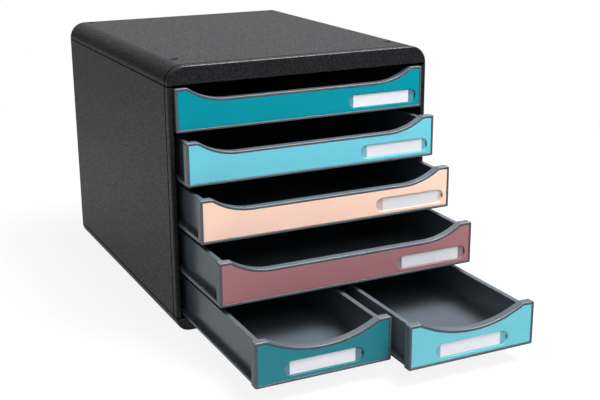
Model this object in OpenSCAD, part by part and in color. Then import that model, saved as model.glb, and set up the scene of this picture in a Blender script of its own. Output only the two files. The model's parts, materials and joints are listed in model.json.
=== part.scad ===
// Desktop drawer unit: a moulded casing with four full-width trays above two half-width trays.
// Millimetres. X runs across the unit, Y from the front to the back, Z up.
// The origin is on the floor, at the centre of the four stacking feet.

/* [Casing] */
// Outside width of the casing
casing_w = 288; // [270:1:320]
// Outside depth of the casing
casing_d = 355; // [340:1:400]
// Height of the casing without its feet
casing_h = 271; // [270:0.5:273]
// Radius of the cover's long rounded edges
corner_r = 18.4; // [14:0.2:18.6]
// Radius of the base's long rounded edges
base_r = 14.4; // [11:0.2:14.4]
// Height of the top cover
cover_h = 19.2; // [18.8:0.2:19.6]
// Height of the base
base_h = 15; // [14.6:0.1:15]
// Wall thickness of the casing mouldings
shell_t = 3; // [2.6:0.1:3.4]
// Rounding of the front and back edges
edge_r = 1.6; // [1:0.1:2]

/* [Trim line] */
// Distance of the trim groove from the front edge
groove_back = 8.4; // [6:0.2:12]
// Width of the trim groove
groove_w = 1; // [0.6:0.1:1.6]
// Depth of the trim groove
groove_deep = 0.7; // [0.4:0.1:1]

/* [Stacking] */
// Half distance between the left and right stacking sockets
stack_x = 121; // [110:1:121]
// Distance of the front stacking sockets from the front edge
stack_front = 42.7; // [36:0.1:60]
// Distance of the back stacking sockets from the back edge
stack_back = 9.4; // [9.2:0.1:20]
// Radius of a stacking socket
socket_r = 4; // [3.8:0.1:4.2]
// Radius of a foot's peg
foot_r = 3.6; // [3:0.1:3.7]
// How far a foot stands below the base
foot_h = 1.5; // [1:0.1:2]

/* [Drawers] */
// Width of a full-width front
front_w = 275; // [270:0.2:275]
// Height of a front
front_h = 43.2; // [42:0.2:43.4]
// Distance from one row of drawers to the next
row_pitch = 47.75; // [47.55:0.05:47.9]
// Height of the bottom row's fronts above the underside of the base
row_start = 15.6; // [15.6:0.1:16]
// Length of a drawer from its front face to its back
tray_l = 341; // [320:1:342]
// Travel of a drawer from closed to its stop
travel = 235; // [215:1:250]
// How far a closed front stands out of the casing
front_proud = 2.5; // [1.5:0.1:3]

/* [Front panel] */
// Length of the flat shoulder at each end of the front's top edge
shoulder = 11.5; // [9:0.5:14]
// Depth of the scoop in a full-width front
scoop_deep = 13; // [10:0.2:15]
// Radius at which a full-width scoop falls to its flat middle
scoop_r = 70; // [50:1:90]
// Depth of the scoop in a half-width front
half_scoop_deep = 14.3; // [11:0.1:15]
// Width of the rim around the coloured insert
rim_w = 2.5; // [1.5:0.1:3]
// Depth of the front's frame
front_t = 8.2; // [6:0.2:9]

/* [Label] */
// Length of the label window
label_l = 79.6; // [70:0.2:84]
// Height of the label window
label_h = 14; // [12:0.2:15]
// Length of the label card
card_l = 66; // [60:0.5:68]
// Height of the label window's centre above the front's lower edge
label_z = 12.8; // [11:0.1:15]
// Gap between a full-width front's right end and its label window
label_inset = 7; // [6:0.2:20]

/* [Positions] */
// How far drawer 1 is pulled out
open_1 = 0; // [0:0.5:235]
// How far drawer 2 is pulled out
open_2 = 25.7; // [0:0.1:235]
// How far drawer 3 is pulled out
open_3 = 58.1; // [0:0.1:235]
// How far drawer 4 is pulled out
open_4 = 101.3; // [0:0.1:235]
// How far drawer 5 is pulled out
open_5 = 178.6; // [0:0.1:235]
// How far drawer 6 is pulled out
open_6 = 207.5; // [0:0.1:235]

/* [Hidden] */

// Casing planes
stack_y = (casing_d - stack_front - stack_back) / 2;
front_y = -stack_y - stack_front;
back_y = front_y + casing_d;
base_top = foot_h + base_h;
cover_z = foot_h + casing_h - cover_h;
side_h = cover_z - base_top;
top_z = foot_h + casing_h;
side_x = casing_w / 2;
over = 1;
fine = 0.2;
arc_lap = 0.002;
seam_v = 0.5;

// Side panels and runners
strip_w = 5;
strip_deep = 7;
tongue_t = 2.2;
tongue_h = 2.8;
tongue_gap = 0.4;
shelf_h = 2.5;
back_t = 2.6;
panel_gap = 0.3;
ledge_t = 2.4;
ledge_gap = 0.3;
ledge_w = 9.4;
guide_t = 1.8;
guide_w = 8;
runner_front = front_y + 9;
runner_back = back_y - back_t - 3;
stop_l = 6;

// Cover and base ribs
rib_t = 1.6;
rib_deep = 7;
rib_step_x = 54;
rib_step_y = 59;
boss_r = 6.2;
boss_top = 6;
shank_r = 2.2;
socket_deep = 2.4;
mouth_lift = 1;

// Drawer shell
half_gap = 1.4;
half_w = (front_w - half_gap) / 2;
tray_t = 2.3;
wall_inset = 6;
wall_drop = 3.6;
floor_r = 6;
bead_w = 4;
bead_t = 2;
floor_t = 2;
flange_w = 5.4;
lip_t = 2;
front_corner_r = 1.5;
shoulder_r = 5;
lug_l = 8;
lug_w = 2.4;
detent_y = 46;
half_lip = 2.2;
full_flange_t = 4;
half_flange_t = 2.8;
guide_gap = 1.5;

// Insert, window and card
pocket_deep = 2.3;
insert_gap = 0.15;
insert_t = 2.1;
recess_deep = 1.4;
window_t = 0.9;
window_gap = 0.1;
notch_w = 1.7;
notch_r = 2.6;
notch_out = 0.9;
notch_deep = 1.3;
card_t = 0.3;
card_gap = 0.5;

// One entry per drawer: width, centre, row above the bottom one, opening, centre of the label,
// place of the loose card in its window
full_label_x = front_w / 2 - label_inset - label_l / 2;
half_x = (half_w + half_gap) / 2;
widths = [front_w, front_w, front_w, front_w, half_w, half_w];
centres = [0, 0, 0, 0, -half_x, half_x];
rows = [4, 3, 2, 1, 0, 0];
openings = [open_1, open_2, open_3, open_4, open_5, open_6];
label_xs = [full_label_x, full_label_x, full_label_x, full_label_x, 0, 0];
card_shifts = [-1.4, 0.6, 1.8, -0.9, -1.4, -1.4];
insert_colours = ["#00919f", "#68cadb", "#fed2c0", "#b27c80", "#2f8393", "#70c4d4"];

function front_z(row) = foot_h + row_start + row * row_pitch;
function flange_z(row) = row == 0 ? half_lip : 0;
function flange_t(row) = row == 0 ? half_flange_t : full_flange_t;

// Scoop of a front: the turn of its two arcs, their run along X and the large arc's radius
function scoop_d(w) = w > half_w ? scoop_deep : half_scoop_deep;
function half_turn() = 2 * atan(half_scoop_deep / (half_w / 2 - shoulder));
function scoop_big_r(w) =
    w > half_w ? scoop_r : (half_w / 2 - shoulder) / sin(half_turn()) - shoulder_r;
function scoop_turn(w) = acos(1 - scoop_d(w) / (scoop_big_r(w) + shoulder_r));
function scoop_run(w) = (scoop_big_r(w) + shoulder_r) * sin(scoop_turn(w));

// ---------- Shared shapes ----------

// Front outline of a cover: a rectangle whose two upper corners are round, standing on the X axis
module arched(w, h, r) {
    translate([-w / 2, 0]) square([w, h - r]);
    translate([-w / 2 + r, 0]) square([w - 2 * r, h]);
    for (s = [-1, 1])
        intersection() {
            translate([s * (w / 2 - r), h - r]) circle(r, $fn = 96);
            translate([-w / 2, 0]) square([w, h]);
        }
}

// Carries a front outline back along Y, from y_from to y_to
module along_y(y_from, y_to) {
    translate([0, y_to, 0])
        rotate([90, 0, 0])
            linear_extrude(y_to - y_from)
                children();
}

// What a rounded edge of radius r takes off a square corner
module round_off(r) {
    difference() {
        square(r + over);
        circle(r, $fn = 48);
    }
}

// Rounds the front edge of an arched solid of width w, height h and corner radius r
module arched_edge_cut(w, h, r) {
    e = edge_r;
    translate([r - w / 2, front_y + e, h - e])
        rotate([90, 0, 90]) mirror([1, 0]) linear_extrude(w - 2 * r) round_off(e);
    for (s = [0, 1]) mirror([s, 0, 0]) {
        translate([w / 2 - e, front_y + e, -over])
            mirror([0, 1, 0]) linear_extrude(h - r + over) round_off(e);
        translate([w / 2 - r, front_y + e, h - r])
            rotate([90, 0, 0])
                rotate_extrude(angle = 90, $fn = 96)
                    translate([r - e, 0]) round_off(e);
    }
}

// The trim groove: a shallow ring cut round an arched solid
module arched_groove(w, h, r) {
    y = front_y + groove_back;
    along_y(y, y + groove_w) difference() {
        translate([0, -over]) arched(w + 2 * over, h + 2 * over, r + over);
        translate([0, -2 * over])
            arched(w - 2 * groove_deep, h + 2 * over - groove_deep, r - groove_deep);
    }
}

// V-shaped seam line along both sides at height z
module seam_cut(z) {
    for (s = [-1, 1])
        translate([s * side_x, front_y - over, z])
            rotate([0, 45, 0])
                translate([-seam_v, 0, -seam_v])
                    cube([2 * seam_v, casing_d + 2 * over, 2 * seam_v]);
}

module at_sockets() {
    for (x = [-stack_x, stack_x], y = [-stack_y, stack_y])
        translate([x, y, 0]) children();
}

// Stadium lying along X, centred on the origin
module stadium(l, h) {
    square([l - h, h], center = true);
    for (s = [-1, 1])
        translate([s * (l - h) / 2, 0]) circle(h / 2, $fn = 64);
}

// ---------- Casing ----------

// Hollow moulding shared by cover and base: a skin of height h whose long edges are rounded by r,
// with a grid of stiffening ribs inside
module lid(h, r) {
    difference() {
        along_y(front_y, back_y) arched(casing_w, h, r);
        along_y(front_y + shell_t, back_y - shell_t)
            translate([0, -over])
                arched(casing_w - 2 * shell_t, h - shell_t + over, r - shell_t);
        arched_groove(casing_w, h, r);
        arched_edge_cut(casing_w, h, r);
        translate([0, front_y + back_y, 0])
            mirror([0, 1, 0]) arched_edge_cut(casing_w, h, r);
    }
    inner_x = side_x - shell_t - tongue_t - 1.5;
    for (x = [-2 : 2])
        translate([x * rib_step_x - rib_t / 2, front_y + shell_t - fine, h - shell_t - rib_deep])
            cube([rib_t, casing_d - 2 * shell_t + 2 * fine, rib_deep + fine]);
    for (y = [-2 : 2]) {
        rib_y = (front_y + back_y) / 2 + y * rib_step_y - rib_t / 2;
        along_y(rib_y, rib_y + rib_t)
            intersection() {
                arched(casing_w - 2 * shell_t + 2 * fine, h - shell_t + fine, r - shell_t + fine);
                translate([-inner_x, h - shell_t - rib_deep])
                    square([2 * inner_x, rib_deep + fine]);
            }
    }
}

module top_cover() {
    color("#3a383b")
        difference() {
            union() {
                translate([0, 0, cover_z]) lid(cover_h, corner_r);
                at_sockets() translate([0, 0, top_z - 5]) cylinder(r = boss_r, h = 3, $fn = 48);
            }
            at_sockets() translate([0, 0, top_z - socket_deep])
                cylinder(r = socket_r, h = socket_deep + over, $fn = 64);
            seam_cut(cover_z);
            translate([strip_w - side_x, front_y - over, cover_z - over])
                cube([2 * (side_x - strip_w), shell_t + 2 * over, mouth_lift + over]);
        }
}

module base() {
    color("#2c2b2e")
        difference() {
            union() {
                translate([0, 0, base_top]) mirror([0, 0, 1]) lid(base_h, base_r);
                at_sockets() translate([0, 0, foot_h + 2])
                    cylinder(r = boss_r, h = boss_top - 2, $fn = 48);
            }
            at_sockets() cylinder(r = shank_r, h = foot_h + boss_top + over, $fn = 64);
            seam_cut(base_top);
        }
}

// Plan outline of the right side panel: plate, rounded outer corners, trim groove, front strip
// and the cleat that locates the back panel
module side_plan() {
    r = edge_r;
    difference() {
        union() {
            translate([side_x - shell_t, front_y + r]) square([shell_t, casing_d - 2 * r]);
            for (y = [front_y + r, back_y - r])
                translate([side_x - r, y]) circle(r, $fn = 48);
            for (y = [front_y, back_y - r])
                translate([side_x - shell_t, y]) square([shell_t - r, r]);
            translate([side_x - strip_w, front_y]) square([strip_w - shell_t + fine, strip_deep]);
            translate([side_x - strip_w, back_y - back_t - 2])
                square([strip_w - shell_t + fine, 2 - fine / 4]);
        }
        translate([side_x - groove_deep, front_y + groove_back]) square([over, groove_w]);
    }
}

// Runner channel of one row on the right side: a ledge under the drawer's flange, a guide over it
// and the stop that catches the drawer's lug
module side_runner(row) {
    z = front_z(row) + flange_z(row);
    length = runner_back - runner_front;
    x = side_x - shell_t + fine;
    translate([x - ledge_w, runner_front, z - ledge_gap - ledge_t])
        cube([ledge_w, length, ledge_t]);
    translate([x - guide_w, runner_front, z + flange_t(row) + guide_gap])
        cube([guide_w, length, guide_t]);
    translate([x - guide_w / 2 + 0.4, runner_front, z - ledge_gap - fine])
        cube([guide_w / 2 - 0.4, stop_l, flange_t(row) + guide_gap + ledge_gap + 2 * fine]);
}

module right_side_shape() {
    difference() {
        translate([0, 0, base_top]) linear_extrude(side_h) side_plan();
        seam_cut(base_top);
        seam_cut(cover_z);
    }
    tongue_x = side_x - shell_t - tongue_t;
    tongue_y = front_y + shell_t + strip_deep;
    tongue_l = casing_d - 2 * shell_t - strip_deep - back_t - 2;
    for (z = [base_top - tongue_h, cover_z - fine])
        translate([tongue_x, tongue_y, z])
            cube([tongue_t - tongue_gap, tongue_l, tongue_h + fine]);
    for (z = [base_top, cover_z - shelf_h])
        translate([tongue_x, tongue_y, z]) cube([tongue_t + fine, tongue_l, shelf_h]);
    for (row = [0 : 4]) side_runner(row);
}

module right_side() {
    color("#434345") right_side_shape();
}

module left_side() {
    color("#434345") mirror([1, 0, 0]) right_side_shape();
}

// Back panel between the sides, with a raised frame around a shallow field
module back_panel() {
    frame_w = 12;
    w = casing_w - 2 * (shell_t + panel_gap);
    color("#2c2b2e")
        difference() {
            translate([-w / 2, back_y - back_t, base_top]) cube([w, back_t, side_h]);
            translate([-w / 2 + frame_w, back_y - 0.8, base_top + frame_w])
                cube([w - 2 * frame_w, 0.8 + over, side_h - 2 * frame_w]);
        }
}

// Rail that stands on the base between the two half-width drawers
module centre_rail() {
    web_t = half_gap / 2 + 0.9;
    z = front_z(0) + flange_z(0);
    foot_z = foot_h + shell_t;
    tray_wall = half_gap / 2 + wall_inset;
    length = runner_back - runner_front;
    color("#2c2b2e") {
        translate([-web_t / 2, runner_front, foot_z + rib_deep])
            cube([web_t, length, z + half_flange_t + guide_gap + guide_t - foot_z - rib_deep]);
        translate([-tray_wall + 0.6, runner_front, z - ledge_gap - ledge_t])
            cube([2 * tray_wall - 1.2, length, ledge_t]);
        translate([-tray_wall + 1.6, runner_front, z + half_flange_t + guide_gap])
            cube([2 * tray_wall - 3.2, length, guide_t]);
    }
}

// Foot: a rubber peg that drops into the socket of the unit below. Its shank passes through the
// base and ends in a collar.
module foot(x, y) {
    color("#1d1d1f")
        translate([x, y, 0]) {
            cylinder(r = foot_r, h = foot_h, $fn = 64);
            cylinder(r = shank_r, h = foot_h + boss_top + fine, $fn = 64);
            translate([0, 0, foot_h + boss_top]) cylinder(r = foot_r + 1, h = 1.2, $fn = 64);
        }
}

module foot_front_left() { foot(-stack_x, -stack_y); }
module foot_front_right() { foot(stack_x, -stack_y); }
module foot_back_left() { foot(-stack_x, stack_y); }
module foot_back_right() { foot(stack_x, stack_y); }

// ---------- Drawers ----------

// Places a drawer's parts: its own frame has the front face at y = 0 and the lower edge at z = 0
module in_drawer(n) {
    translate([centres[n - 1], front_y - front_proud - openings[n - 1], front_z(rows[n - 1])])
        children();
}

// Outline of a front, brought in by inset i on every side: flat shoulders, a small convex arc,
// a large concave arc and, on a full-width front, a straight middle. The large arc laps its
// neighbours by arc_lap, so that they cross and don't only touch.
module front_outline(w, i) {
    turn = scoop_turn(w);
    big_r = scoop_big_r(w);
    start_x = w / 2 - shoulder;
    end_x = start_x - scoop_run(w);
    low_z = front_h - scoop_d(w);
    corner = max(front_corner_r - i, 0.4);
    far = 2 * shoulder_r;
    difference() {
        union() {
            translate([-w / 2 + i, i + corner]) square([w - 2 * i, front_h - 2 * (i + corner)]);
            translate([-w / 2 + i + corner, i]) square([w - 2 * (i + corner), front_h - 2 * i]);
            for (x = [-1, 1], z = [i + corner, front_h - i - corner])
                translate([x * (w / 2 - i - corner), z]) circle(corner, $fn = 32);
        }
        if (end_x > fine)
            translate([-end_x, low_z - i]) square([2 * end_x, front_h]);
        for (s = [0, 1]) mirror([s, 0]) {
            translate([end_x, low_z + big_r]) circle(big_r + i + arc_lap, $fn = 240);
            translate([start_x, front_h - shoulder_r])
                difference() {
                    polygon([[0, 0], [0, far], [-far * tan(turn), far]]);
                    circle(shoulder_r - i, $fn = 64);
                }
        }
    }
}

// Cross-section of the tray: rounded inner corners, a bead along each rim and a flange along
// each foot
module tray_section(w, row) {
    out_x = w / 2 - wall_inset;
    in_x = out_x - tray_t;
    bottom = flange_z(row);
    floor_z = bottom + floor_t;
    rim_z = front_h - wall_drop;
    difference() {
        translate([-out_x, bottom]) square([2 * out_x, rim_z - bottom]);
        translate([-in_x, floor_z + floor_r]) square([2 * in_x, rim_z]);
        translate([-in_x + floor_r, floor_z]) square([2 * (in_x - floor_r), rim_z]);
        for (s = [-1, 1])
            translate([s * (in_x - floor_r), floor_z + floor_r]) circle(floor_r, $fn = 64);
    }
    for (s = [0, 1]) mirror([s, 0]) {
        translate([out_x - bead_w, rim_z - bead_t]) square([bead_w - bead_t / 2, bead_t]);
        translate([out_x - bead_w, rim_z - bead_t / 2]) circle(bead_t / 2, $fn = 32);
        translate([out_x - fine, bottom]) square([flange_w + fine, flange_t(row)]);
        translate([out_x - fine, bottom + flange_t(row)]) square([0.6 + fine, 0.9]);
    }
}

// Front of a tray: a plate whose edge turns back as a lip, all round down to the tray's floor
module front_frame(w, row) {
    plate = pocket_deep + tray_t;
    floor_z = flange_z(row) + floor_t;
    difference() {
        along_y(0, front_t) front_outline(w, 0);
        along_y(plate, front_t + over)
            intersection() {
                front_outline(w, lip_t);
                translate([-w / 2, floor_z]) square([w, front_h]);
            }
    }
    for (s = [-1, 1])
        translate([s * (w / 2 - wall_inset - tray_t / 2) - tray_t / 2, plate - fine,
                   front_h - wall_drop - fine])
            cube([tray_t, front_t - plate, wall_drop - lip_t / 2]);
}

// A tray moulded in one with the frame of its front
module tray(w, row, lug_sides, label_x) {
    out_x = w / 2 - wall_inset;
    rim_z = front_h - wall_drop;
    bottom = flange_z(row);
    lug_y = front_proud + runner_front - front_y + stop_l + travel + 0.5;
    difference() {
        union() {
            front_frame(w, row);
            along_y(pocket_deep + tray_t - fine, tray_l) tray_section(w, row);
            translate([-out_x, tray_l - tray_t, bottom])
                cube([2 * out_x, tray_t, rim_z - bottom]);
            translate([-out_x, tray_l - bead_w, rim_z - bead_t])
                cube([2 * out_x, bead_w, bead_t]);
            for (s = lug_sides) mirror([s < 0 ? 1 : 0, 0, 0])
                translate([out_x + flange_w - fine, lug_y, bottom])
                    cube([lug_w + fine, lug_l, flange_t(row)]);
            for (s = [-1, 1]) detent_bump(w, row, s);
        }
        along_y(-over, pocket_deep) front_outline(w, rim_w);
        along_y(pocket_deep - fine, pocket_deep + notch_deep)
            translate([label_x, label_z]) finger_notch();
        for (s = [-1, 1])
            translate([s * (out_x + 1.8) - 0.8, detent_y - 3, bottom - over])
                cube([1.6, 6, flange_t(row) + 2 * over]);
    }
}

// Small bump on the flange that holds the drawer shut
module detent_bump(w, row, s) {
    translate([s * (w / 2 - wall_inset + flange_w - 1.1) - 1.1, detent_y - 1.8,
               flange_z(row) + flange_t(row) - fine])
        cube([2.2, 3.6, 1 + fine]);
}

// Finger notch at the right end of a label's recess, from which the card is pushed out
module finger_notch() {
    intersection() {
        stadium(label_l, label_h);
        translate([label_l / 2 + notch_out, 0]) circle(notch_r, $fn = 48);
    }
}

// Coloured insert with the recess that takes the label
module insert(w, label_x) {
    face_y = pocket_deep - insert_t;
    difference() {
        along_y(face_y, pocket_deep) front_outline(w, rim_w + insert_gap);
        along_y(face_y - over, face_y + recess_deep)
            translate([label_x, label_z]) stadium(label_l, label_h);
        along_y(face_y + recess_deep - fine, pocket_deep + over)
            translate([label_x, label_z]) finger_notch();
    }
}

module card(label_x, shift) {
    floor_y = pocket_deep - insert_t + recess_deep;
    translate([label_x + shift - card_l / 2, floor_y - card_t, label_z - label_h / 2 + card_gap])
        cube([card_l, card_t, label_h - 2 * card_gap]);
}

// Clear window over the card, shorter than its recess by the finger notch at its right end
module window(label_x) {
    back = pocket_deep - insert_t + recess_deep - card_t;
    along_y(back - window_t, back)
        translate([label_x - notch_w / 2, label_z])
            stadium(label_l - 2 * window_gap - notch_w, label_h - 2 * window_gap);
}

module drawer_tray(n, lug_sides) {
    color("#5a6064") in_drawer(n)
        tray(widths[n - 1], rows[n - 1], lug_sides, label_xs[n - 1]);
}

module drawer_insert(n) {
    color(insert_colours[n - 1]) in_drawer(n) insert(widths[n - 1], label_xs[n - 1]);
}

module drawer_card(n) {
    color("white") in_drawer(n) card(label_xs[n - 1], card_shifts[n - 1]);
}

module drawer_window(n) {
    color("#dfe8ea", 0.4) in_drawer(n) window(label_xs[n - 1]);
}

top_cover();
base();
left_side();
right_side();
back_panel();
centre_rail();
foot_front_left();
foot_front_right();
foot_back_left();
foot_back_right();
drawer_tray(1, [-1, 1]);  // tray_1
drawer_tray(2, [-1, 1]);  // tray_2
drawer_tray(3, [-1, 1]);  // tray_3
drawer_tray(4, [-1, 1]);  // tray_4
drawer_tray(5, [-1]);  // tray_5
drawer_tray(6, [1]);  // tray_6
drawer_insert(1);  // insert_1
drawer_insert(2);  // insert_2
drawer_insert(3);  // insert_3
drawer_insert(4);  // insert_4
drawer_insert(5);  // insert_5
drawer_insert(6);  // insert_6
drawer_card(1);  // card_1
drawer_card(2);  // card_2
drawer_card(3);  // card_3
drawer_card(4);  // card_4
drawer_card(5);  // card_5
drawer_card(6);  // card_6
drawer_window(1);  // window_1
drawer_window(2);  // window_2
drawer_window(3);  // window_3
drawer_window(4);  // window_4
drawer_window(5);  // window_5
drawer_window(6);  // window_6
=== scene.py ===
"""Looks of a desktop drawer unit, built round its packed construction.

The construction fixes every size and place. This script dresses it: the moulded pieces get
rounded edges, the label windows and cards get shells of their own, and every surface gets a
finish worked out from its position.
"""

import json
import logging
import math
from dataclasses import dataclass
from enum import Enum
from typing import Any

import bmesh
import bpy
import numpy as np
from mathutils import Matrix, Vector


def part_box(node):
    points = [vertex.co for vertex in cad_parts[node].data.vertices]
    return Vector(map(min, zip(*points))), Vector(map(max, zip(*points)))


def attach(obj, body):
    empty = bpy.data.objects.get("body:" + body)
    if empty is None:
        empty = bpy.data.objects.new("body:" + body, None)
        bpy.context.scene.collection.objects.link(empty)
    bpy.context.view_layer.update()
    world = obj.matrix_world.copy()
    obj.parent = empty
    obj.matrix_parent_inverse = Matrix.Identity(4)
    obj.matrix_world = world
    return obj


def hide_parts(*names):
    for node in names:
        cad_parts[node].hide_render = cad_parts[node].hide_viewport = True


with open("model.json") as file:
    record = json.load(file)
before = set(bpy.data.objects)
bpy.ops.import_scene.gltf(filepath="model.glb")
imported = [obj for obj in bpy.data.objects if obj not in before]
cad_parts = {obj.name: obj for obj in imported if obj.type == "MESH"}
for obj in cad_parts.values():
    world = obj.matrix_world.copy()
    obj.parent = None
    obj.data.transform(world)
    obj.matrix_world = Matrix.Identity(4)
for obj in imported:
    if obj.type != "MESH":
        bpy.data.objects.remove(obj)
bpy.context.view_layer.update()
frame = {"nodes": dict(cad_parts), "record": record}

LOG = logging.getLogger("drawer_unit")
MM = 0.001
# Points nearer to each other than this are one point.
MERGE = 0.002 * MM
# Points nearer to a cutting plane than this lie on it.
HAIR = 0.0001 * MM
# Neighbouring faces that turn by less than this are one flat face.
FLAT = math.radians(0.3)
# Edges that turn by more than this stay sharp.
CREASE = math.radians(33.0)

Colour = tuple[float, float, float]


# ---------- Shader maths ----------


def linear(colour: Colour) -> tuple[float, float, float, float]:
    """Turn a display colour into scene light.

    Each channel is divided by 12.92 in the dark part, and follows a power of 2.4 above it.

    Args:
        colour: Red, green and blue as a screen shows them, from 0 to 1.

    Returns:
        The same colour in linear light, with an alpha of 1.
    """
    channels = [c / 12.92 if c <= 0.04045 else ((c + 0.055) / 1.055) ** 2.4 for c in colour]
    return (channels[0], channels[1], channels[2], 1.0)


class Value:
    """A socket of a shader tree that Python's operators can be used on."""

    def __init__(self, tree: "ShaderTree", socket: bpy.types.NodeSocket | None) -> None:
        """Wrap a socket.

        Args:
            tree: The tree that holds the socket's node.
            socket: An output socket, or None for the node that ends the tree.
        """
        self.tree = tree
        self.socket = socket

    def _math(self, operation: str, *values: Any) -> "Value":
        """Add a Math node that works on the given values."""
        return self.tree.add("ShaderNodeMath", dict(enumerate(values)), operation=operation)

    def __add__(self, other: Any) -> "Value":
        """Add."""
        return self._math("ADD", self, other)

    def __radd__(self, other: Any) -> "Value":
        """Add, with the number first."""
        return self._math("ADD", other, self)

    def __sub__(self, other: Any) -> "Value":
        """Subtract."""
        return self._math("SUBTRACT", self, other)

    def __rsub__(self, other: Any) -> "Value":
        """Subtract from a number."""
        return self._math("SUBTRACT", other, self)

    def __mul__(self, other: Any) -> "Value":
        """Multiply."""
        return self._math("MULTIPLY", self, other)

    def __rmul__(self, other: Any) -> "Value":
        """Multiply, with the number first."""
        return self._math("MULTIPLY", other, self)

    def __truediv__(self, other: Any) -> "Value":
        """Divide."""
        return self._math("DIVIDE", self, other)

    def __rtruediv__(self, other: Any) -> "Value":
        """Divide a number by this."""
        return self._math("DIVIDE", other, self)

    def __pow__(self, other: Any) -> "Value":
        """Raise to a power."""
        return self._math("POWER", self, other)

    def ramp(self, low: float, high: float) -> "Value":
        """Rise smoothly from 0 at low to 1 at high.

        Args:
            low: Value at which the ramp leaves 0.
            high: Value at which the ramp reaches 1.

        Returns:
            The smooth step between the two.
        """
        inputs = {"Value": self, "From Min": low, "From Max": high}
        return self.tree.add("ShaderNodeMapRange", inputs, interpolation_type="SMOOTHSTEP")


class ShaderTree:
    """The nodes of a material or of the world, added one expression at a time."""

    def __init__(self, owner: bpy.types.Material | bpy.types.World) -> None:
        """Empty the owner's nodes.

        Args:
            owner: The material or world that is built.
        """
        owner.use_nodes = True
        self.owner = owner
        self.nodes = owner.node_tree.nodes
        self.links = owner.node_tree.links
        self.nodes.clear()

    @classmethod
    def new_material(cls, name: str) -> "ShaderTree":
        """Start a material of the given name."""
        return cls(bpy.data.materials.new(name))

    def add(self, kind: str, inputs: dict[Any, Any] | None = None, output: Any = 0,
            **settings: Any) -> Value:
        """Add any node.

        Args:
            kind: The node's type.
            inputs: Values or links of its sockets, by name or number.
            output: Name or number of the output that is wanted.
            **settings: The node's own settings, which are set first.

        Returns:
            The wanted output.
        """
        node = self.nodes.new(kind)
        for key, setting in settings.items():
            setattr(node, key, setting)
        for key, value in (inputs or {}).items():
            if isinstance(value, Value):
                self.links.new(value.socket, node.inputs[key])
            else:
                node.inputs[key].default_value = value
        return Value(self, node.outputs[output] if node.outputs else None)

    def place(self) -> Value:
        """Return the position on the piece, in metres."""
        return self.add("ShaderNodeTexCoord", output="Object")

    def axis(self, name: str, vector: Value | None = None) -> Value:
        """Return one coordinate, X, Y or Z.

        Args:
            name: Which coordinate.
            vector: The vector that it is taken from, or None for the position on the piece.

        Returns:
            The coordinate.
        """
        return self.add("ShaderNodeSeparateXYZ", {0: vector or self.place()}, name)

    def attribute(self, name: str) -> Value:
        """Return a number that the mesh stores at its points."""
        return self.add("ShaderNodeAttribute", output="Fac", attribute_name=name)

    def rays(self) -> tuple[Value, Value]:
        """Tell rays apart by where they come from.

        Returns:
            1 for rays from the camera, and 1 for rays from gloss or through clear plastic.
        """
        path = self.add("ShaderNodeLightPath").socket.node
        camera, glossy, through = (Value(self, path.outputs[n]) for n in
                                   ("Is Camera Ray", "Is Glossy Ray", "Is Transmission Ray"))
        return camera, (glossy + through) * (1.0 - camera)

    def noise(self, size: float, detail: float = 2.0, rough: float = 0.5) -> Value:
        """Return smooth noise.

        Args:
            size: Size of its features, in metres.
            detail: Number of finer layers.
            rough: How strong each finer layer is.

        Returns:
            A value around 0.5.
        """
        inputs = {"Vector": self.place(), "Scale": 1 / size, "Detail": detail, "Roughness": rough}
        return self.add("ShaderNodeTexNoise", inputs, "Fac")

    def cells(self, size: float) -> Value:
        """Return rounded pebbles of the given size, in metres: 0 at each middle, 1 between."""
        inputs = {"Vector": self.place(), "Scale": 1 / size, "Smoothness": 0.6}
        return self.add("ShaderNodeTexVoronoi", inputs, "Distance", feature="SMOOTH_F1")

    def mix(self, factor: Any, first: Any, second: Any) -> Value:
        """Blend two colours by a factor."""
        colours = {0: factor, 6: first, 7: second}
        return self.add("ShaderNodeMix", colours, 2, data_type="RGBA")

    def bump(self, height: Value, depth: float) -> Value:
        """Turn a height into a normal.

        Args:
            height: The height, from 0 to 1.
            depth: The real height of 1, in metres.

        Returns:
            The normal.
        """
        return self.add("ShaderNodeBump", {"Height": height, "Distance": depth, "Strength": 1.0})

    def finish(self, **sockets: Any) -> bpy.types.Material:
        """End the tree in a Principled shader.

        Args:
            **sockets: The shader's sockets, with underscores for blanks.

        Returns:
            The finished material.
        """
        inputs = {key.replace("_", " "): value for key, value in sockets.items()}
        shader = self.add("ShaderNodeBsdfPrincipled", inputs)
        return self.end(shader, "ShaderNodeOutputMaterial")

    def end(self, shader: Value, kind: str) -> Any:
        """Lead a shader to the output.

        Args:
            shader: The shader.
            kind: Type of the output node.

        Returns:
            The material or world that is built.
        """
        self.add(kind, {"Surface": shader})
        return self.owner


# ---------- Finishes ----------


# Colour of the painted shade in the grooves and seams.
PAINTED_SHADE_BLACK = (0.0, 0.0, 0.0, 1.0)


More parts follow.
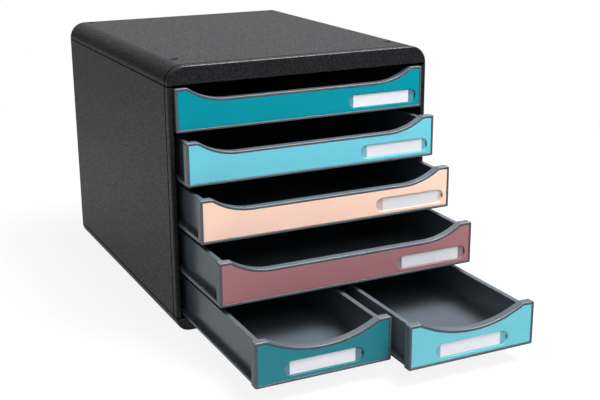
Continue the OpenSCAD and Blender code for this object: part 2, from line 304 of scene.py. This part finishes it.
@dataclass(frozen=True)
class GrainedPlastic:
    """Moulded plastic with a pebbled grain.

    Attributes:
        name: The material's name.
        colour: Display colour of the plastic.
        roughness: Mean roughness.
        grain: Size of a pebble, in metres.
        depth: Depth of the grain, in metres.
        swing: How far colour and gloss swing between gaps and pebbles, from 0 to 1.
        shine: Level of the reflection, 0.5 for ordinary plastic.
        crevices: Narrow gaps and grooves where shade is painted in black with no gloss, as tuples
        of the axis that they stand across and their two edges along it, in metres.
        pebbled: Share of the pebbles in the height. The finer noise has the rest.
        slope: The heights between which a gap turns into a pebble's top.
        spread: Spread of the roughness.
        gloss_index: Refractive index of the glossy skin, which carries all the reflection.
        soft: Width over which the edge of a crevice's painted shade fades, in metres.
    """

    name: str
    colour: Colour
    roughness: float
    grain: float
    depth: float
    swing: float
    shine: float = 0.5
    crevices: tuple[tuple[str, float, float], ...] = ()
    pebbled: float = 0.6
    slope: tuple[float, float] = (0.44, 0.7)
    spread: float = 0.12
    gloss_index: float = 1.6
    soft: float = 0.15 * MM

    def open_share(self, tree: ShaderTree) -> Any:
        """Tell the open surface from the grooves and seams where shade is painted, with soft edges
        between.

        Args:
            tree: The tree that is built.

        Returns:
            1 on the open surface, and 0 in every crevice, where the shade is painted.
        """
        share: Any = 1.0
        for axis, low, high in self.crevices:
            place = tree.axis(axis)
            past = place.ramp(high, high + self.soft)
            share = (1.0 - place.ramp(low - self.soft, low) * (1.0 - past)) * share
        return share

    def material(self) -> bpy.types.Material:
        """Build the material: pebbles with finer noise on them, darker in the gaps between, and
        painted shade in the grooves and seams: black, with no gloss.

        The gloss is twice the shine on the pebbles, as 0.5 stands for an ordinary plastic, and
        less by the swing in the gaps between.

        Returns:
            The material.
        """
        tree = ShaderTree.new_material(self.name)
        # free is 1 on the open surface and 0 in the grooves and seams, where shade is painted.
        free = self.open_share(tree)
        pebbles = tree.cells(self.grain)
        fine = tree.noise(self.grain * 0.6, 3.0, 0.6)
        height = (1.0 - pebbles) * self.pebbled + fine * (1.0 - self.pebbled)
        shade = height.ramp(*self.slope)
        base = linear(self.colour)
        gap, top = (tuple(c * (1.0 + side * self.swing) for c in base[:3]) + (1.0,)
                    for side in (-1.0, 1.0))
        gloss = shade * self.swing + (1.0 - self.swing)
        # In the grooves and seams the base colour goes black and the coat goes to 0, as painted
        # shade.
        return tree.finish(
            Base_Color=tree.mix(free, PAINTED_SHADE_BLACK, tree.mix(shade, gap, top)),
            Roughness=(self.roughness - self.spread / 2) + fine * self.spread,
            Specular_IOR_Level=0.0,
            Coat_Weight=gloss * free * (2.0 * self.shine),
            Coat_Roughness=self.roughness,
            Coat_IOR=self.gloss_index,
            Normal=tree.bump(height, self.depth),
        )


@dataclass(frozen=True)
class SatinPlastic:
    """Smooth moulded plastic with faint flow marks.

    Attributes:
        name: The material's name.
        colour: Display colour of the plastic.
        roughness: Mean roughness.
        shine: Level of the reflection, 0.5 for ordinary plastic.
        cloud: Size of the clouds, in metres.
        skin: Size of the skin's bumps, in metres.
        fade: How bright the clouds' deep parts are, as a share.
        spread: Spread of the roughness that clouds and skin each bring.
        depth: Depth of the skin, in metres.
    """

    name: str
    colour: Colour
    roughness: float
    shine: float = 0.5
    cloud: float = 30 * MM
    skin: float = 0.6 * MM
    fade: float = 0.975
    spread: float = 0.03
    depth: float = 0.02 * MM

    def material(self) -> bpy.types.Material:
        """Build the material: slow clouds in colour and gloss, and a very fine skin.

        Returns:
            The material.
        """
        tree = ShaderTree.new_material(self.name)
        cloud = tree.noise(self.cloud, 3.0)
        skin = tree.noise(self.skin, 2.0)
        base = linear(self.colour)
        deep = tuple(c * self.fade for c in base[:3]) + (1.0,)
        return tree.finish(
            Base_Color=tree.mix(cloud.ramp(0.3, 0.7), base, deep),
            Roughness=(self.roughness - self.spread) + (cloud + skin) * self.spread,
            Specular_IOR_Level=self.shine,
            Normal=tree.bump((skin + cloud) * 0.5, self.depth),
        )


@dataclass(frozen=True)
class CardStock:
    """Smooth white card with a fibrous tooth.

    Attributes:
        name: The material's name.
        colour: Display colour of the card.
        fibre: Size of the fibres, in metres.
        fade: How bright the card is between them, as a share.
        depth: Depth of the tooth, in metres.
        roughness: Least roughness.
        spread: Spread of the roughness.
        shine: Level of the reflection, 0.5 for ordinary plastic.
    """

    name: str
    colour: Colour
    fibre: float = 0.9 * MM
    fade: float = 0.95
    depth: float = 0.03 * MM
    roughness: float = 0.7
    spread: float = 0.2
    shine: float = 0.2

    def material(self) -> bpy.types.Material:
        """Build the material: fine fibres in colour and height.

        Returns:
            The material.
        """
        tree = ShaderTree.new_material(self.name)
        fibre = tree.noise(self.fibre, 4.0, 0.7)
        base = linear(self.colour)
        deep = tuple(c * self.fade for c in base[:3]) + (1.0,)
        return tree.finish(
            Base_Color=tree.mix(fibre.ramp(0.3, 0.75), base, deep),
            Roughness=self.roughness + fibre * self.spread,
            Specular_IOR_Level=self.shine,
            Normal=tree.bump(fibre, self.depth),
        )


@dataclass(frozen=True)
class ClearPlastic:
    """Clear moulded plastic over a label.

    Attributes:
        name: The material's name.
        colour: Display colour of its faint veil.
        veil: How much the middle hides of what is behind it, from 0 to 1.
        ends: How much more its rounded ends hide, where the pale veil paints a milky reflection.
        haze: Size of the haze's clouds, in metres.
        roughness: Least roughness.
        spread: Spread of the roughness.
        shine: Level of the reflection, 0.5 for ordinary plastic.
    """

    name: str
    colour: Colour
    veil: float
    ends: float
    haze: float = 4 * MM
    roughness: float = 0.12
    spread: float = 0.05
    shine: float = 0.3

    def material(self) -> bpy.types.Material:
        """Build the material: a thin glossy veil, denser at the ends, where its pale colour is a
        painted milky reflection.

        The alpha is the veil times 0.75 plus half the haze, and the ends' part beyond the card.

        Returns:
            The material.
        """
        tree = ShaderTree.new_material(self.name)
        haze = tree.noise(self.haze, 3.0)
        end = tree.attribute("end")
        return tree.finish(
            Base_Color=linear(self.colour),
            Roughness=self.roughness + haze * self.spread,
            Specular_IOR_Level=self.shine,
            # The ends' extra alpha shows the pale veil colour there as a painted reflection.
            Alpha=haze * (0.5 * self.veil) + end * self.ends + (0.75 * self.veil),
        )


# The trim groove, the seam under the cover and the seam over the base, painted black as shade.
PAINTED_SHADE_CREVICES = (("Y", -186.2 * MM, -184.3 * MM), ("Z", 252.8 * MM, 253.9 * MM),
            ("Z", 16.0 * MM, 17.1 * MM))


class Finish(Enum):
    """Every finish of the unit, by the record's material slot."""

    cover_plastic = GrainedPlastic("cover grain", (0.145, 0.142, 0.155), 0.34, grain=1.4 * MM,
                                   depth=0.25 * MM, swing=0.5, shine=0.44, crevices=PAINTED_SHADE_CREVICES)
    side_plastic = GrainedPlastic("side grain", (0.123, 0.123, 0.128), 0.44, grain=1.4 * MM,
                                  depth=0.15 * MM, swing=0.42, shine=0.5, crevices=PAINTED_SHADE_CREVICES)
    inner_plastic = SatinPlastic("inner black", (0.08, 0.08, 0.085), 0.5, 0.3)
    foot_rubber = GrainedPlastic("foot rubber", (0.09, 0.09, 0.09), 0.8, grain=0.6 * MM,
                                 depth=0.04 * MM, swing=0.3)
    tray_plastic = SatinPlastic("tray grey", (0.325, 0.355, 0.385), 0.24, 0.6)
    insert_teal = SatinPlastic("teal front", (0.0, 0.545, 0.61), 0.22, 0.15)
    insert_turquoise = SatinPlastic("turquoise front", (0.42, 0.785, 0.855), 0.22, 0.6)
    insert_peach = SatinPlastic("peach front", (1.0, 0.838, 0.762), 0.22, 0.6)
    # The rose is set a little darker than the front's own colour, as painted shade for a shadow
    # that falls over that drawer's front.
    insert_rose = SatinPlastic("rose front", (0.65, 0.45, 0.465), 0.22, 0.6)
    insert_petrol = SatinPlastic("petrol front", (0.15, 0.495, 0.545), 0.22, 0.6)
    insert_aqua = SatinPlastic("aqua front", (0.435, 0.77, 0.825), 0.22, 0.6)
    card_stock = CardStock("blank card", (0.92, 0.917, 0.937))
    clear_plastic = ClearPlastic("clear window", (0.62, 0.70, 0.76), veil=0.04, ends=0.16)


class Wardrobe:
    """Builds each finish once, and puts it on the pieces that the record gives it to."""

    def __init__(self) -> None:
        """Look up every node's finish in the record, with none built yet."""
        subparts = frame["record"]["subparts"]
        self.finishes = {part["node"]: Finish[part["material_slot"]] for part in subparts}
        self.built: dict[Finish, bpy.types.Material] = {}

    def dress(self, piece: bpy.types.Object, node: str, body: str) -> None:
        """Put its node's finish on a piece and let it ride on its body.

        Args:
            piece: The piece.
            node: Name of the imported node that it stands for.
            body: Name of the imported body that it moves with.
        """
        finish = self.finishes[node]
        if finish not in self.built:
            self.built[finish] = finish.value.material()
        piece.data.materials.clear()
        piece.data.materials.append(self.built[finish])
        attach(piece, body)
        LOG.info("%s: %d faces", piece.name, len(piece.data.polygons))


# ---------- Meshes ----------


def new_object(name: str, data: Any) -> bpy.types.Object:
    """Add an object to the scene.

    Args:
        name: The object's name.
        data: The mesh, lamp or camera that it holds.

    Returns:
        The object, at the origin.
    """
    thing = bpy.data.objects.new(name, data)
    bpy.context.scene.collection.objects.link(thing)
    return thing


@dataclass(frozen=True)
class Rounding:
    """How the edges of a moulding are rounded.

    Attributes:
        width: Width of the rounding, in metres.
        segments: Number of strips across it.
        turn: The least angle between two faces that is rounded, in degrees.
        bands: Shares of the width by depth behind the piece's front, as tuples of least depth,
            greatest depth and share. The first band that holds an edge counts.
    """

    width: float
    segments: int = 2
    turn: float = 33.0
    bands: tuple[tuple[float, float, float], ...] = ()

    def share(self, depth: float) -> float:
        """Return the share of the width at a depth behind the piece's front."""
        return next((share for low, high, share in self.bands if low <= depth <= high), 1.0)


def merge_flat(work: bmesh.types.BMesh, planes: dict[int, float]) -> None:
    """Merge loose triangles into flat faces.

    The mesh is first cut along planes, and the cuts are kept, so that no flat face has to run
    round a hole or a recess.

    Args:
        work: The mesh, in editing form.
        planes: Place of each plane, by the number of the axis that it stands across.
    """
    bmesh.ops.remove_doubles(work, verts=work.verts, dist=MERGE)
    for axis, place in planes.items():
        across = Vector([float(axis == number) for number in range(3)])
        cut = bmesh.ops.bisect_plane(work, geom=work.verts[:] + work.edges[:] + work.faces[:],
                                     dist=HAIR, plane_co=across * place, plane_no=across)
        for edge in cut["geom_cut"]:
            if isinstance(edge, bmesh.types.BMEdge):
                edge.seam = True
    bmesh.ops.dissolve_limit(work, angle_limit=FLAT, verts=work.verts, edges=work.edges,
                             delimit={"SEAM"})


def rounded_copy(node: str, rounding: Rounding, planes: dict[int, float]) -> bpy.types.Object:
    """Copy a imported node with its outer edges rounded.

    The convex edges that turn by more than the rounding's angle are marked, a Bevel modifier
    rounds those, and a Weighted Normal modifier keeps the flat faces flat beside them.

    Args:
        node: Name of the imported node.
        rounding: How its edges are rounded.
        planes: Planes that its flat faces are divided at, by the number of their axis.

    Returns:
        The new piece, which stands for the node.
    """
    mesh = frame["nodes"][node].data.copy()
    mesh.name = f"{node}_moulding"
    for stale in [store for store in mesh.attributes if store.name == "custom_normal"]:
        mesh.attributes.remove(stale)
    work = bmesh.new()
    work.from_mesh(mesh)
    merge_flat(work, planes)
    weights = work.edges.layers.float.new("bevel_weight_edge")
    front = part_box(node)[0][1]
    for edge in work.edges:
        edge.seam = False
        sharp = edge.calc_face_angle(0.0) > math.radians(rounding.turn)
        if edge.is_manifold and edge.is_convex and sharp:
            middle = (edge.verts[0].co.y + edge.verts[1].co.y) / 2
            edge[weights] = rounding.share(middle - front)
    work.to_mesh(mesh)
    work.free()
    mesh.shade_smooth()
    mesh.set_sharp_from_angle(angle=CREASE)
    piece = new_object(mesh.name, mesh)
    bevel = piece.modifiers.new("edges", "BEVEL")
    bevel.width = rounding.width
    bevel.segments = rounding.segments
    bevel.limit_method = "WEIGHT"
    bevel.use_clamp_overlap = False
    shading = piece.modifiers.new("shading", "WEIGHTED_NORMAL")
    shading.keep_sharp = True
    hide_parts(node)
    return piece


def ring_surface(name: str, rings: np.ndarray) -> bpy.types.Mesh:
    """Make a closed mesh of rings of points, each joined to the next.

    Args:
        name: The mesh's name.
        rings: Points of shape (rings, points, 3). The first and last ring are drawn together
            onto a line or point, which closes the surface.

    Returns:
        The mesh, with doubled points merged and faces pointing outwards.
    """
    count, around = rings.shape[:2]
    ring, point = np.meshgrid(np.arange(count - 1), np.arange(around), indexing="ij")
    after = (point + 1) % around
    quads = np.stack((ring * around + point, ring * around + after,
                      (ring + 1) * around + after, (ring + 1) * around + point), axis=-1)
    mesh = bpy.data.meshes.new(name)
    mesh.from_pydata(rings.reshape(-1, 3).tolist(), [], quads.reshape(-1, 4).tolist())
    work = bmesh.new()
    work.from_mesh(mesh)
    bmesh.ops.remove_doubles(work, verts=work.verts, dist=MERGE)
    bmesh.ops.recalc_face_normals(work, faces=work.faces)
    work.to_mesh(mesh)
    work.free()
    mesh.shade_smooth()
    return mesh


# ---------- Sub-assemblies ----------


@dataclass
class Casing:
    """The fixed mouldings of the unit.

    Attributes:
        body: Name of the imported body.
        lid: Rounding of the cover, widest at the front and narrow in the trim groove.
        shell: Rounding of the other long mouldings.
        small: Rounding of the small ones.
        aside: How far beside the middle of a piece its flat faces are divided, in metres.
        broad: The least reach of a piece that is divided across, in metres.
    """

    body: str = "casing"
    lid: Rounding = Rounding(0.32 * MM, 2, 50.0, (
        (-1 * MM, 1 * MM, 2.1), (7 * MM, 11 * MM, 0.25)))
    shell: Rounding = Rounding(0.32 * MM, 2, 50.0, (
        (-1 * MM, 1 * MM, 1.4), (7 * MM, 11 * MM, 0.25)))
    small: Rounding = Rounding(0.32 * MM, 2, 50.0)
    aside: float = 0.37 * MM
    broad: float = 50 * MM

    def build(self, wardrobe: Wardrobe) -> None:
        """Round and dress every piece of the casing.

        Args:
            wardrobe: The finishes.
        """
        for node in frame["record"]["behaviour"]["bodies"][self.body]:
            low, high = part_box(node)
            planes = {axis: (low[axis] + high[axis]) / 2 + self.aside for axis in (0, 1)
                      if high[axis] - low[axis] > self.broad}
            rounding = self.lid if node == "top_cover" else self.shell if planes else self.small
            wardrobe.dress(rounded_copy(node, rounding, planes), node, self.body)


@dataclass
class Pane:
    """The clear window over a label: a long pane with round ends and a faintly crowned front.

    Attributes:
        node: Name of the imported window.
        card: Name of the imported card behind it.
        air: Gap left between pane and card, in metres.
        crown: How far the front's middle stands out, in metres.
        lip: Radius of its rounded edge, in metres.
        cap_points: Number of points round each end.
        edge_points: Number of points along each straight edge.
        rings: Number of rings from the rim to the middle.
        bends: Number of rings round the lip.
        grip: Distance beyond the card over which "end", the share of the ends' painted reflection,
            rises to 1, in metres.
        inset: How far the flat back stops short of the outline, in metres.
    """

    node: str
    card: str
    air: float = 0.07 * MM
    crown: float = 0.12 * MM
    lip: float = 0.25 * MM
    cap_points: int = 28
    edge_points: int = 30
    rings: int = 12
    bends: int = 4
    grip: float = 1.5 * MM
    inset: float = 0.1 * MM

    def outline(self, reach: np.ndarray, half_line: float) -> np.ndarray:
        """Return rings of the pane's outline.

        Each end is a half circle of the given reach round an end of the middle line, and the
        straight edges join them. All rings have their points at the same turns and shares.

        Args:
            reach: Distances of the rings from the middle line, in metres.
            half_line: Half the length of the middle line.

        Returns:
            Points X and Z of shape (rings, points, 2), round the middle.
        """
        turn = np.linspace(-np.pi / 2, np.pi / 2, self.cap_points)
        along = np.linspace(half_line, -half_line, self.edge_points + 2)[1:-1]
        centre = np.concatenate((np.full_like(turn, half_line), along,
                                 np.full_like(turn, -half_line), -along))
        out_x = np.concatenate((np.cos(turn), 0 * along, -np.cos(turn), 0 * along))
        out_z = np.concatenate((np.sin(turn), 0 * along + 1, -np.sin(turn), 0 * along - 1))
        x = centre[None, :] + reach[:, None] * out_x[None, :]
        z = reach[:, None] * out_z[None, :]
        return np.stack((x, z), axis=-1)

    def mesh(self) -> bpy.types.Mesh:
        """Build the pane's mesh.

        The profile runs from the middle of the front to the rim, round the lip and back to the
        middle behind. The front's depth is the crown times the square of the share of the way to
        the rim, so that it is highest along the middle.

        Returns:
            The mesh, which carries "end": 0 over the card and 1 beyond its ends.
        """
        low, high = (np.array(corner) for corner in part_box(self.node))
        card_low, card_high = (np.array(corner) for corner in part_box(self.card))
        half_high = (high[2] - low[2]) / 2
        half_line = (high[0] - low[0]) / 2 - half_high
        rim = half_high - self.lip
        flat = np.linspace(0.0, 1.0, self.rings) * rim
        bend = np.linspace(0.0, np.pi / 2, self.bends + 1)[1:]
        round_lip = rim + self.lip * np.sin(bend)
        reach = np.concatenate((flat, round_lip, [half_high - self.inset, 0.0]))
        crown = self.crown * (flat / rim) ** 2
        edge = self.crown + self.lip * (1 - np.cos(bend))
        thick = high[1] - low[1] - self.air
        depth = np.concatenate((crown, edge, [thick, thick]))
        outline = self.outline(reach, half_line)
        x = outline[..., 0] + (low[0] + high[0]) / 2
        z = outline[..., 1] + (low[2] + high[2]) / 2
        y = np.broadcast_to((low[1] + depth)[:, None], x.shape)
        mesh = ring_surface(f"{self.node}_pane", np.stack((x, y, z), axis=-1))
        points = np.empty(len(mesh.vertices) * 3)
        mesh.vertices.foreach_get("co", points)
        place = points.reshape(-1, 3)[:, 0]
        beyond = np.maximum(card_low[0] - place, place - card_high[0]) / self.grip
        store = mesh.attributes.new("end", "FLOAT", "POINT")
        store.data.foreach_set("value", np.clip(beyond, 0.0, 1.0))
        return mesh

    def build(self) -> bpy.types.Object:
        """Build the pane.

        Returns:
            The piece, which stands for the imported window.
        """
        mesh = self.mesh()
        piece = new_object(mesh.name, mesh)
        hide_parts(self.node)
        return piece


@dataclass
class Drawer:
    """One drawer: its tray, insert, card and window.

    Attributes:
        number: The drawer's number, from the top.
        tray_edge: Rounding of the tray: full on the frame of its front, less behind it, and
            hardly any on the ledge that the insert lies on.
        insert_edge: Rounding of the insert, narrow round the label recess.
        card_edge: Rounding of the card.
        aside: How far beside the middle of the window the flat faces are divided, in metres.
    """

    number: int
    tray_edge: Rounding = Rounding(0.6 * MM, 3, 33.0, (
        (2.2 * MM, 2.4 * MM, 0.1), (-1 * MM, 1 * MM, 1.0), (1 * MM, 4 * MM, 0.8),
        (4 * MM, 1.0, 0.5)))
    insert_edge: Rounding = Rounding(0.36 * MM, 3, 33.0, ((1.0 * MM, 5 * MM, 0.2),))
    card_edge: Rounding = Rounding(0.08 * MM, 1)
    aside: float = 1.1 * MM

    def build(self, wardrobe: Wardrobe) -> None:
        """Round and dress every piece of the drawer.

        Args:
            wardrobe: The finishes.
        """
        names = {part: f"{part}_{self.number}" for part in ("tray", "insert", "card", "window")}
        low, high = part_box(names["window"])
        planes = {0: (low[0] + high[0]) / 2 + self.aside}
        pieces = {
            "tray": rounded_copy(names["tray"], self.tray_edge, planes),
            "insert": rounded_copy(names["insert"], self.insert_edge, planes),
            "card": rounded_copy(names["card"], self.card_edge, {}),
            "window": Pane(names["window"], names["card"]).build(),
        }
        for part, piece in pieces.items():
            wardrobe.dress(piece, names[part], f"drawer_{self.number}")


# ---------- Stage ----------


@dataclass(frozen=True)
class Softbox:
    """A square lamp with a soft cover, which faces the unit.

    Attributes:
        name: The lamp's name.
        place: Its place, in metres.
        size: Its side, in metres.
        power: Its power, in watts.
    """

    name: str
    place: tuple[float, float, float]
    size: float
    power: float

    def build(self, target: Vector) -> None:
        """Hang the lamp.

        Args:
            target: The point that it faces.
        """
        light = bpy.data.lights.new(self.name, "AREA")
        light.shape = "SQUARE"
        light.size = self.size
        light.energy = self.power
        lamp = new_object(self.name, light)
        lamp.rotation_mode = "QUATERNION"
        lamp.rotation_quaternion = (target - Vector(self.place)).to_track_quat("-Z", "Y")
        lamp.location = self.place


@dataclass
class Stage:
    """Floor, backdrop, lamps and camera.

    Attributes:
        eye: The camera's place, in metres.
        aim: The point that the lamps face, in metres.
        yaw: Turn of the view from +Y towards +X, in degrees.
        pitch: Tilt of the view below the horizon, in degrees.
        roll: Turn of the picture, in degrees.
        lens: Focal length, in millimetres.
        sensor: Width of the camera's sensor, in millimetres.
        floor_half: Half the side of the floor, in metres.
        floor_grey: Lightness of the floor's own grey, as light falls on it.
        camera_grey: How much lighter that grey is to the camera.
        shadow: Share of the floor's own grey near the unit, which takes the shadow.
        shadow_end: The distances from the middle between which that share runs out, in metres.
        sky: Level of the room's light on the unit.
        backdrop: Level at which gloss shows the backdrop behind the unit.
        room: Level at which gloss shows the room in front of it.
        skyline: The heights of a view between which the backdrop ends.
        corner: The slant of the line between backdrop and room as seen from the unit, and where
            a view across it leaves the one and reaches the other.
        image: The slant of the same line on the floor, and the two places across it, in metres.
        image_start: The distances from the middle between which the image gains its level.
        image_end: The places along Y between which it fades, in metres.
        image_loss: The share of its level that it loses there.
        lamps: The softboxes.
    """

    eye: tuple[float, float, float] = (-0.4794, -1.17, 0.45025)
    aim: tuple[float, float, float] = (0.0, -0.15, 0.12)
    yaw: float = 25.93
    pitch: float = 16.79
    roll: float = -0.364
    lens: float = 65.72
    sensor: float = 36.0
    floor_half: float = 6.0
    floor_grey: float = 0.5
    camera_grey: float = 0.4
    shadow: float = 0.12
    shadow_end: tuple[float, float] = (0.45, 1.0)
    sky: float = 0.25
    backdrop: float = 0.8
    room: float = 0.03
    skyline: tuple[float, float] = (0.28, 0.42)
    corner: tuple[float, float, float] = (0.8, 0.6, 1.1)
    image: tuple[float, float, float] = (1.5, -0.4, 0.1)
    image_start: tuple[float, float] = (-0.3, 0.6)
    image_end: tuple[float, float] = (0.2, 1.2)
    image_loss: float = 0.4
    lamps: tuple[Softbox, ...] = (
        Softbox("key softbox", (0.1, -1.75, 1.75), 1.2, 11.0),
        Softbox("overhead softbox", (0.6, -0.55, 1.6), 1.1, 68.0),
    )

    def build(self) -> None:
        """Build the floor, the backdrop, the lamps and the camera."""
        self.floor()
        self.world()
        for lamp in self.lamps:
            lamp.build(Vector(self.aim))
        self.camera()
        bpy.context.scene.view_settings.view_transform = "Standard"

    def floor(self) -> None:
        """Build the floor: white to the camera but for a soft shadow near the unit.

        Away from the unit the floor glows as white as the backdrop. Near it, a share of what the
        camera sees is the floor's own grey, which takes the shadow. Gloss sees the level of the
        backdrop in the part behind the unit, fading with distance, and the room's level in front.
        """
        half = self.floor_half
        corners = np.array([[-half, -half, 0], [half, -half, 0], [half, half, 0], [-half, half, 0]])
        mesh = bpy.data.meshes.new("floor")
        mesh.from_pydata(corners.tolist(), [], [(0, 1, 2, 3)])
        floor = new_object("floor", mesh)
        tree = ShaderTree.new_material("pale floor")
        camera, gloss = tree.rays()
        x, y = tree.axis("X"), tree.axis("Y")
        distance = (x * x + y * y) ** 0.5
        white = distance.ramp(*self.shadow_end) * self.shadow + (1.0 - self.shadow)
        slant, near, far = self.image
        behind = (y - x * slant).ramp(near, far) * distance.ramp(*self.image_start)
        fading = 1.0 - y.ramp(*self.image_end) * self.image_loss
        mirrored = behind * fading * (self.backdrop - self.room) + self.room
        grey = camera * self.camera_grey + self.floor_grey
        diffuse = tree.add("ShaderNodeBsdfDiffuse", {"Color": grey})
        glow = tree.add("ShaderNodeEmission", {"Color": camera + gloss * mirrored, "Strength": 1.0})
        mixed = tree.add("ShaderNodeMixShader", {0: camera * white + gloss, 1: diffuse, 2: glow})
        floor.data.materials.append(tree.end(mixed, "ShaderNodeOutputMaterial"))

    def world(self) -> None:
        """Build the backdrop and the room.

        The camera sees white. Gloss sees the pale backdrop behind the unit and the dimmer room in
        front of it and above. Everything else is lit by the room at one plain level.
        """
        world = bpy.data.worlds.new("studio")
        bpy.context.scene.world = world
        tree = ShaderTree(world)
        camera, gloss = tree.rays()
        towards = tree.add("ShaderNodeTexCoord", output="Generated")
        x, y, z = (tree.axis(name, towards) for name in "XYZ")
        slant, near, far = self.corner
        behind = (y + x * slant).ramp(near, far) * (1.0 - z.ramp(*self.skyline))
        mirrored = behind * (self.backdrop - self.room) + self.room
        rest = (1.0 - camera) * (1.0 - gloss)
        level = camera + gloss * mirrored + rest * self.sky
        sky = tree.add("ShaderNodeBackground", {"Color": level, "Strength": 1.0})
        tree.end(sky, "ShaderNodeOutputWorld")

    def camera(self) -> None:
        """Add the camera: its axes are worked out from yaw, pitch and roll."""
        yaw, pitch, roll = (math.radians(a) for a in (self.yaw, self.pitch, self.roll))
        ahead = Vector((math.sin(yaw) * math.cos(pitch), math.cos(yaw) * math.cos(pitch),
                        -math.sin(pitch)))
        level = Vector((math.cos(yaw), -math.sin(yaw), 0.0))
        upright = level.cross(ahead)
        right = level * math.cos(roll) + upright * math.sin(roll)
        up = upright * math.cos(roll) - level * math.sin(roll)
        data = bpy.data.cameras.new("camera")
        data.lens = self.lens
        data.sensor_width = self.sensor
        data.clip_start, data.clip_end = 0.05, 50.0
        camera = new_object("camera", data)
        turn = Matrix((right, up, -ahead)).transposed()
        camera.matrix_world = Matrix.Translation(self.eye) @ turn.to_4x4()
        bpy.context.scene.camera = camera


def main() -> None:
    """Build the stage, the casing and the six drawers in order."""
    logging.basicConfig(level=logging.INFO, format="%(name)s: %(message)s")
    Stage().build()
    wardrobe = Wardrobe()
    Casing().build(wardrobe)
    for number in range(1, 7):
        Drawer(number).build(wardrobe)


if __name__ == "__main__":
    main()
